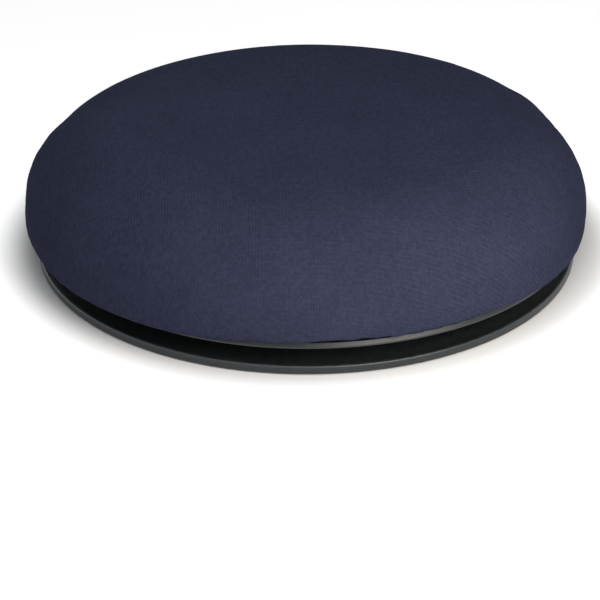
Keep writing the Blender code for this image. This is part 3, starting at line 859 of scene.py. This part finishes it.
clampedRings = {
    "topWasher": "pivot_top_washer",
    "pivotSleeve": "pivot_sleeve",
    "nutWasher": "pivot_nut_washer",
}
buildWasher("slideWasher", "slide_washer", discSizes["sleeveHole"], nylonMaterial, "base", "slide_nylon")
for ringName, ringNode in clampedRings.items():
    buildWasher(ringName, ringNode, discSizes["boltHole"], pivotMaterial, "seat", "pivot_steel")
buildBolt()
buildNut()


def readVectors(mesh, kind="co"):
    # The vertices' places, or with "normal" their normals.
    vectors = np.empty(len(mesh.vertices) * 3, np.float32)
    mesh.vertices.foreach_get(kind, vectors)
    return vectors.reshape(-1, 3).astype(float)


def writePlaces(mesh, places):
    mesh.vertices.foreach_set("co", places.astype(np.float32).ravel())
    mesh.update()


def roundAxis(places):
    # Each place's distance from the axis and its azimuth.
    return np.hypot(places[:, 0], places[:, 1]), np.arctan2(places[:, 1], places[:, 0])


def smoothStep(value, low, high):
    share = np.clip((value - low) / (high - low), 0.0, 1.0)
    return share * share * (3 - 2 * share)


def between(value, start, full, fade, end):
    # Rises from 0 to 1 between the first two values, and falls back between the last two.
    return smoothStep(value, start, full) * (1 - smoothStep(value, fade, end))


def hump(azimuth, middle, spread, power=2):
    # A smooth hump of height 1 round one azimuth, in degrees, flatter on top for a higher power.
    away = np.abs(np.angle(np.exp(1j * (azimuth - math.radians(middle)))))
    return np.exp(-((away / math.radians(spread)) ** power))


print("foam")
cushionSizes = {
    "crestRadius": 130.0 * mm,
    "widestHeight": 31.9 * mm,
    "turnInRadius": discRadius + 1.5 * mm,
    "turnInSquare": 2.7,
    "overRim": seatRimTop + 0.3 * mm,
    "sag": 2.0 * mm,
    "sideFrom": 170.0 * mm,
    "sideHeights": (24.8 * mm, 29.0 * mm),
    # Azimuth and spread in degrees, and how far the side stands out there
    "fuller": (
        (45, 30, 0.8 * mm),
        (120, 25, -0.7 * mm),
        (12.5, 4.5, -0.5 * mm),
        (24, 2.5, 0.6 * mm),
        (164, 3, -0.4 * mm),
        (176, 6, 0.8 * mm),
    ),
    "drawnIn": (-22, 14, -3.8 * mm),
    "drawnInHeights": (38.0 * mm, 65.0 * mm),
}
foamSizes = {
    "inset": 2.2 * mm,
    "lift": 1.6 * mm,
    "holeWaist": 62.0 * mm,
    "holeWaistHeight": 41.9 * mm,
    "holeFoot": 70.0 * mm,
    "wellPlay": 0.3 * mm,
    "wellInside": 1.6 * mm,
    "wellRound": 0.3 * mm,
    "wellTopRound": 0.5 * mm,
    "footRound": 0.8 * mm,
    "footSteps": 10,
    "riseSteps": 26,
    "crownSteps": 28,
    "turnInSteps": 10,
    "sides": 192,
    "cornerSteps": 4,
}


def cushionSide(inset, crownSteps, turnInSteps, lift=0.0):
    # The cushion's section from its crest out over the widest line and in above the disc's rim,
    # set back from the cloth's outer face, and lifted further off the rim.
    size = cushionSizes
    crest, widest, turnIn = size["crestRadius"], size["widestHeight"], size["turnInRadius"]
    crown = (cushionRadius - crest - inset, cushionTop - widest - inset)
    under = (cushionRadius - turnIn - inset, widest - size["overRim"] - inset - lift)
    points = arcPoints((crest, widest), crown, 90, 0, crownSteps)
    return points + arcPoints((turnIn, widest), under, 0, -90, turnInSteps, size["turnInSquare"])[1:]


def fullness(places):
    # How far the side stands out of round at each place, round the azimuths that the sizes name.
    size = cushionSizes
    across, azimuth = roundAxis(places)
    onSide = smoothStep(across, size["crestRadius"], size["sideFrom"])
    onSide *= smoothStep(places[:, 2], *size["sideHeights"])
    shift = np.zeros_like(across)
    for middle, spread, amount in size["fuller"]:
        shift += amount * onSide * hump(azimuth, middle, spread)
    middle, spread, amount = size["drawnIn"]
    low = 1 - smoothStep(places[:, 2], *size["drawnInHeights"])
    return shift + amount * onSide * low * hump(azimuth, middle, spread)


def buildFoam():
    size = foamSizes
    crest = cushionSizes["crestRadius"]
    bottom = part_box("foam_ring")[0].z
    waist = size["holeWaistHeight"]
    wellTop = elasticHigh.z + size["wellPlay"] + size["lift"]
    wellInner = elasticCircle - elasticRadius - size["wellInside"]
    wellOuter = elasticCircle + elasticRadius + size["wellPlay"]
    foot = (size["holeFoot"] - size["holeWaist"], waist - bottom)
    rise = (crest - size["holeWaist"], cushionTop - size["inset"] - waist)
    profile = [
        *arcPoints((size["holeFoot"], waist), foot, 270, 180, size["footSteps"]),
        *arcPoints((crest, waist), rise, 180, 90, size["riseSteps"])[1:-1],
        *cushionSide(size["inset"], size["crownSteps"], size["turnInSteps"], size["lift"]),
        (wellOuter, cushionSizes["overRim"] + size["inset"] + size["lift"], size["wellRound"]),
        (wellOuter, wellTop, size["wellRound"]),
        (wellInner, wellTop, size["wellTopRound"]),
        (wellInner, bottom, size["footRound"]),
    ]
    foam = turned("foamRing", profile, foamMaterial, size)
    foam.modifiers.clear()
    places = readVectors(foam.data)
    writePlaces(foam.data, places + readVectors(foam.data, "normal") * fullness(places)[:, None])
    return foam


foamRing = buildFoam()

print("cover")
coverSizes = {
    "gridCells": 58,
    "gridRadius": 112.0 * mm,
    "topRings": 4,
    "crownRings": 15,
    "turnInRings": 6,
    "hemRings": 12,
    "hemArc": (-12, -300),
    "hemLoop": 2.55 * mm,
    "flatRadius": 250.0 * mm,
    "cloth": 0.9 * mm,
    "clothInset": 0.5 * mm,
    "startAbove": 0.6 * mm,
    "inwardCap": 0.1 * mm,
    "motionCap": 1.2 * mm,
    "overHole": (20 * mm, 125 * mm),
    "colliderInset": 0.3 * mm,
    "frames": 20,
}
clothSettings = {
    "quality": 6,
    "mass": 0.05,
    "tension_stiffness": 12.0,
    "compression_stiffness": 12.0,
    "shear_stiffness": 4.0,
    "bending_stiffness": 0.4,
    "tension_damping": 8.0,
    "shrink_min": 0.012,
    "vertex_group_mass": "hem",
}
foldSizes = {
    "count": 84,
    "seed": 11,
    "wander": 0.9,
    "wanderFolds": 6,
    "uneven": 0.5,
    "waves": (2, 9),
    "strengths": (0.2, 1.8),
    "lobe": 0.7,
    "hemDepth": 0.6 * mm,
    "hemFacing": (0.75, 1.0),
    "hemFrom": (191 * mm, 193 * mm),
    "sideDepth": 0.1 * mm,
    "sideFrom": (191 * mm, 194 * mm),
    "sideTop": 70 * mm,
    "backDepth": 0.35 * mm,
    "backEnds": 0.3,
    "highDepth": 0.8 * mm,
    "highHeights": (26 * mm, 34 * mm, 60 * mm, 88 * mm),
    "highPlaces": ((14, 11), (177, 6)),
}
droopSizes = {
    "left": 3.0 * mm,
    "leftOf": (8, 32, 50, 78),
    "back": 0.8 * mm,
    "backOf": (44, 66),
    "waves": 7,
    "wavy": 0.1,
    "frontLift": 1.1 * mm,
    "rightLift": 1.5 * mm,
    "rightOf": (14, 24, 36, 52),
    "aboveRim": 1 * mm,
    "aboveWidest": 14 * mm,
    "edge": 0.4 * mm,
    "slits": ((-84.8, 4.6, 1.7 * mm), (-78.4, 2.4, 1.7 * mm), (-75.0, 1.3, 1.3 * mm)),
    "slitPower": 4,
}


def coverTop(across):
    # The cloth's height over the flat middle and the hole in the foam.
    share = min(across / cushionSizes["crestRadius"], 1.0)
    dip = cushionSizes["sag"] * (1 + math.cos(math.pi * share)) / 2
    return cushionTop - coverSizes["clothInset"] - dip


def coverSection():
    # The middle of the cloth's thickness, from the edge of the flat middle to the end of the hem,
    # as (distance from the axis, height) points for the mesh's rings.
    size = coverSizes
    points = []
    for step in range(1, size["topRings"]):
        width = cushionSizes["crestRadius"] - size["gridRadius"]
        across = size["gridRadius"] + width * step / size["topRings"]
        points.append((across, coverTop(across)))
    points += cushionSide(size["clothInset"], size["crownRings"], size["turnInRings"])
    loop = (size["hemLoop"], size["hemLoop"])
    return points + arcPoints((elasticCircle, elasticHeight), loop, *size["hemArc"], size["hemRings"])


def coverMesh():
    # A square grid drawn out to a disc, then rings from its edge to the hem. All faces are quads.
    size = coverSizes
    cells = size["gridCells"]
    row = cells + 1
    spots = [math.sqrt(2) * math.sin(-math.pi / 4 + math.pi / 2 * step / cells) for step in range(row)]
    flat = []
    for b in spots:
        for a in spots:
            x = size["gridRadius"] * a * math.sqrt(1 - b * b / 2)
            flat.append((x, size["gridRadius"] * b * math.sqrt(1 - a * a / 2)))
    places = [(x, y, coverTop(math.hypot(x, y))) for x, y in flat]
    firsts = [b * row + a for b in range(cells) for a in range(cells)]
    faces = [(first, first + 1, first + row + 1, first + row) for first in firsts]
    inner = [*range(cells)]
    inner += [b * row + cells for b in range(cells)]
    inner += [cells * row + cells - a for a in range(cells)]
    inner += [(cells - b) * row for b in range(cells)]
    count = len(inner)
    length = size["gridRadius"]
    last = (length, coverTop(length))
    for across, up in coverSection():
        length += math.dist(last, (across, up))
        last = (across, up)
        ring = [len(places) + index for index in range(count)]
        for index in range(count):
            azimuth = math.radians(-135) + math.tau * index / count
            places.append((across * math.cos(azimuth), across * math.sin(azimuth), up))
            flat.append((length * math.cos(azimuth), length * math.sin(azimuth)))
        faces += zip(inner, ring, ring[1:] + ring[:1], inner[1:] + inner[:1])
        inner = ring
    mesh = bpy.data.meshes.new("seatCover")
    mesh.from_pydata(places, [], faces)
    layer = mesh.uv_layers.new(name="flatCloth")
    corners = np.empty(len(mesh.loops), np.int32)
    mesh.loops.foreach_get("vertex_index", corners)
    layer.data.foreach_set("uv", np.array(flat, np.float32)[corners].ravel())
    mesh.materials.append(knitMaterial)
    mesh.shade_smooth()
    heldRings = size["hemRings"] + 2  # the hem's loop and the last ring before it
    return mesh, len(places) - count * heldRings


def shrinkOnFoam(cover, freeCount):
    # The cloth starts just above its place and draws in on the foam, held by its hem.
    size = coverSizes
    designed = readVectors(cover.data)
    normals = readVectors(cover.data, "normal")
    lifted = designed.copy()
    lifted[:freeCount] += normals[:freeCount] * size["startAbove"]
    writePlaces(cover.data, lifted)
    held = cover.vertex_groups.new(name="hem")
    held.add(list(range(freeCount, len(designed))), 1.0, "REPLACE")
    collider = foamRing.copy()
    collider.data = foamRing.data.copy()
    scene.collection.objects.link(collider)
    narrowed = readVectors(collider.data) - readVectors(collider.data, "normal") * size["colliderInset"]
    writePlaces(collider.data, narrowed)
    collider.modifiers.new("collision", "COLLISION")
    collider.collision.thickness_outer = 1.0 * mm
    collider.collision.cloth_friction = 2.0
    modifier = cover.modifiers.new("cloth", "CLOTH")
    for setting, value in clothSettings.items():
        setattr(modifier.settings, setting, value)
    modifier.settings.effector_weights.gravity = 0.3
    modifier.collision_settings.distance_min = 1.0 * mm
    modifier.collision_settings.collision_quality = 3
    modifier.point_cache.frame_start = 1
    modifier.point_cache.frame_end = size["frames"]
    for step in range(1, size["frames"] + 1):
        scene.frame_set(step)
    bakeModifiers(cover)
    scene.frame_set(1)
    bpy.data.objects.remove(collider)
    moved = readVectors(cover.data) - designed
    outwards = np.sum(moved * normals, axis=1)
    sideways = moved - outwards[:, None] * normals
    print("  the cloth moved", np.round(np.percentile(outwards, (0, 5, 50, 95, 100)) / mm, 2), "mm outwards")
    # What is kept of the motion: little inwards, except over the hole, and little outwards and sideways
    overHole = 1 - smoothStep(np.hypot(designed[:, 0], designed[:, 1]), *size["overHole"])
    lowest = -size["inwardCap"] - overHole * size["motionCap"]
    outwards = np.clip(outwards, lowest, size["motionCap"])
    length = np.linalg.norm(sideways, axis=1)
    sideways *= np.minimum(1.0, size["motionCap"] / np.maximum(length, 1e-9))[:, None]
    writePlaces(cover.data, designed + outwards[:, None] * normals + sideways)
    cover.vertex_groups.clear()


def refine(obj, levels):
    subdivision = obj.modifiers.new("refine", "SUBSURF")
    subdivision.levels = levels
    subdivision.render_levels = levels
    subdivision.uv_smooth = "PRESERVE_BOUNDARIES"
    bakeModifiers(obj)


def addDroop(cover):
    # The cloth hangs over the disc's lip left of the front, and a little at the back. At the front it sits
    # on the lip, and just right of the middle it stands off it in three slits.
    size = droopSizes
    places = readVectors(cover.data)
    across, azimuth = roundAxis(places)
    fromFront = np.degrees(np.angle(np.exp(1j * (azimuth + math.pi / 2))))
    left = between(-fromFront, *size["leftOf"])
    back = smoothStep(np.abs(fromFront), *size["backOf"])
    lowered = np.maximum(size["left"] * left, size["back"] * back)
    hang = lowered * (1 - size["wavy"] + size["wavy"] * np.sin(size["waves"] * azimuth + 1.0))
    lift = size["frontLift"] + size["rightLift"] * between(fromFront, *size["rightOf"])
    hang -= lift * np.clip(1 - lowered / size["back"], 0.0, 1.0)
    top = cushionSizes["widestHeight"] + size["aboveWidest"]
    low = 1 - smoothStep(places[:, 2], seatRimTop + size["aboveRim"], top)
    turnIn = cushionSizes["turnInRadius"]
    outside = smoothStep(across, turnIn - size["edge"], turnIn)
    overLip = smoothStep(across, elasticCircle + coverSizes["hemLoop"], discRadius - discSizes["lipSlope"])
    places[:, 2] -= hang * low * outside
    for middle, spread, lift in size["slits"]:
        places[:, 2] += lift * hump(azimuth, middle, spread, size["slitPower"]) * low * overLip
    writePlaces(cover.data, places)


def addFolds(cover):
    # Small folds that the elastic gathers: deep where the cloth turns in, faint on the side,
    # and high on the right and left of the back, where they scallop the outline.
    size = foldSizes
    places = readVectors(cover.data)
    normals = readVectors(cover.data, "normal")
    across, azimuth = roundAxis(places)
    high = places[:, 2]
    random = np.random.default_rng(size["seed"])
    wander = np.zeros_like(azimuth)
    strength = np.ones_like(azimuth)
    for wave in range(*size["waves"]):
        amount = random.uniform(-size["wander"], size["wander"]) / wave
        wander += amount * np.sin(wave * azimuth + random.uniform(0, math.tau))
        amount = random.uniform(-size["uneven"], size["uneven"]) / math.sqrt(wave)
        strength += amount * np.sin(wave * azimuth + random.uniform(0, math.tau))
    strength = np.clip(strength, *size["strengths"])
    phase = (azimuth * size["count"] + wander * size["wanderFolds"]) / 2
    lobes = np.abs(np.sin(phase)) ** size["lobe"] - size["lobe"]
    turningIn = smoothStep(-normals[:, 2], *size["hemFacing"]) * smoothStep(across, *size["hemFrom"])
    side = 1 - smoothStep(high, cushionSizes["widestHeight"], size["sideTop"])
    side *= smoothStep(across, *size["sideFrom"])
    back = between(azimuth, 0.0, size["backEnds"], math.pi - size["backEnds"], math.pi)
    highFolds = sum(hump(azimuth, middle, spread) for middle, spread in size["highPlaces"])
    depth = size["hemDepth"] * turningIn * strength
    depth += (size["sideDepth"] + size["backDepth"] * back) * side * strength
    depth += size["highDepth"] * between(high, *size["highHeights"]) * highFolds
    shift = lobes * depth + fullness(places)
    writePlaces(cover.data, places + normals * shift[:, None])


def buildCover():
    mesh, freeCount = coverMesh()
    cover = newObject("seatCover", mesh)
    shrinkOnFoam(cover, freeCount)
    refine(cover, 1)
    addFolds(cover)
    addDroop(cover)
    wall = cover.modifiers.new("thickness", "SOLIDIFY")
    wall.thickness = coverSizes["cloth"]
    wall.offset = 0.0
    bakeModifiers(cover)
    return cover


seatCover = buildCover()
attach(seatCover, "seat", "cover_knit", "seat_cover")
attach(foamRing, "seat", "foam", "foam_ring")

print("elastic")
cordSizes = {"around": 16, "sides": 256, "cornerSteps": 2}


def buildElastic():
    around = cordSizes["around"]
    reach = (elasticRadius, elasticRadius)
    circle = arcPoints((elasticCircle, elasticHeight), reach, 0, 360 - 360 / around, around - 1)
    elastic = turned("hemElastic", circle, elasticMaterial, cordSizes)
    elastic.modifiers.clear()
    attach(elastic, "seat", "elastic_rubber", "hem_elastic")


buildElastic()

print("stage")
stageSizes = {
    "floorRadius": 9.0,
    "floorDrop": 0.05 * mm,
    # The floor's glow rises between the two distances below, from a centre beside the axis; nearer in, the
    # floor keeps a painted shadow.
    "floorGlow": 0.6,
    "paintedShadowCentre": (3.0 * mm, 5.0 * mm, 0.0),
    "glowStart": 0.2,
    "glowFull": 0.234,
    "ambient": 0.26,
}
# The azimuth runs to the right of the camera's side, in degrees
lampSizes = {
    "softBoxRight": dict(azimuth=30, elevation=24, away=0.6, wide=0.36, high=0.24, watts=1.7, tint="#fff6ec"),
    "softBoxFront": dict(azimuth=0, elevation=60, away=0.9, wide=0.6, high=0.6, watts=3.2, tint="#ffffff"),
}
# From the photograph: 26.8 degrees above the floor, 1.34 m away, with the cushion above the middle
cameraSizes = {
    "away": 1.344,
    "elevation": 26.79,
    "aimBelow": 1.886,
    "turn": 0.222,
    "lens": 111.2,
    "sensor": 36.0,
    "clipEnd": 50.0,
}


def seenByCamera(tree):
    # 1 where the camera sees a surface straight, in a gloss or through something clear.
    path = addNode(tree, "ShaderNodeLightPath").outputs
    rays = (path["Is Camera Ray"], path["Is Glossy Ray"])
    seen = addNode(tree, "ShaderNodeMath", rays, operation="MAXIMUM")
    return addNode(tree, "ShaderNodeMath", (seen, path["Is Transmission Ray"]), operation="MAXIMUM")


def buildFloor():
    # A pale matt floor. Away from the cushion the camera and the gloss see it white. Towards the cushion's
    # foot the glow fades out, which paints a darker ring round it: a painted shadow over the real one.
    size = stageSizes
    material, tree, place = newMaterial("paleMattFloor")
    matt = addNode(tree, "ShaderNodeBsdfDiffuse", {"Color": hexColour("#fafbfc")})
    # Painted shadow: the glow is measured from a centre set off to the right and back, so the dark ring is
    # narrower at the left and front.
    away = addNode(tree, "ShaderNodeVectorMath", (place, size["paintedShadowCentre"]), operation="DISTANCE")
    spread = (away.outputs["Value"], size["glowStart"], size["glowFull"], 0.0, size["floorGlow"])
    glowOutsidePaintedShadow = addNode(tree, "ShaderNodeMapRange", spread, interpolation_type="SMOOTHSTEP")
    whiter = addNode(tree, "ShaderNodeMath", (seenByCamera(tree), glowOutsidePaintedShadow), operation="MULTIPLY")
    glow = addNode(tree, "ShaderNodeEmission", {"Color": hexColour("#ffffff"), "Strength": whiter})
    shader = addNode(tree, "ShaderNodeAddShader", (matt, glow))
    addNode(tree, "ShaderNodeOutputMaterial", {"Surface": shader})
    work = bmesh.new()
    bmesh.ops.create_circle(work, cap_ends=True, segments=96, radius=size["floorRadius"])
    floor = meshObject("floor", work, material)
    floor.location.z = -size["floorDrop"]


def buildWorld():
    world = bpy.data.worlds.new("softRoom")
    world.use_nodes = True
    tree = world.node_tree
    tree.nodes.clear()
    strength = addNode(tree, "ShaderNodeMapRange", (seenByCamera(tree), 0.0, 1.0, stageSizes["ambient"], 1.0))
    light = addNode(tree, "ShaderNodeBackground", {"Color": hexColour("#ffffff"), "Strength": strength})
    addNode(tree, "ShaderNodeOutputWorld", {"Surface": light})
    scene.world = world


def buildLamp(name, size):
    # A soft box, aimed at the middle of the cushion.
    azimuth = math.radians(size["azimuth"])
    climb = math.tan(math.radians(size["elevation"]))
    direction = Vector((math.sin(azimuth), -math.cos(azimuth), climb)).normalized()
    light = bpy.data.lights.new(name, "AREA")
    light.shape = "RECTANGLE"
    light.size = size["wide"]
    light.size_y = size["high"]
    light.energy = size["watts"]
    light.color = hexColour(size["tint"])[:3]
    lamp = newObject(name, light)
    lamp.location = direction * size["away"]
    lamp.rotation_euler = direction.to_track_quat("Z", "Y").to_euler()
    lamp.visible_camera = False


def buildCamera():
    size = cameraSizes
    elevation = math.radians(size["elevation"])
    lens = bpy.data.cameras.new("camera")
    lens.sensor_width = size["sensor"]
    lens.lens = size["lens"]
    lens.clip_end = size["clipEnd"]
    camera = newObject("camera", lens)
    camera.location = (0.0, -size["away"] * math.cos(elevation), size["away"] * math.sin(elevation))
    tilt = math.radians(90 - size["elevation"] - size["aimBelow"])
    camera.rotation_euler = (tilt, 0.0, math.radians(size["turn"]))
    scene.camera = camera


buildFloor()
buildWorld()
for lampName, lampSize in lampSizes.items():
    buildLamp(lampName, lampSize)
buildCamera()
scene.view_settings.view_transform = "Standard"

print("done")
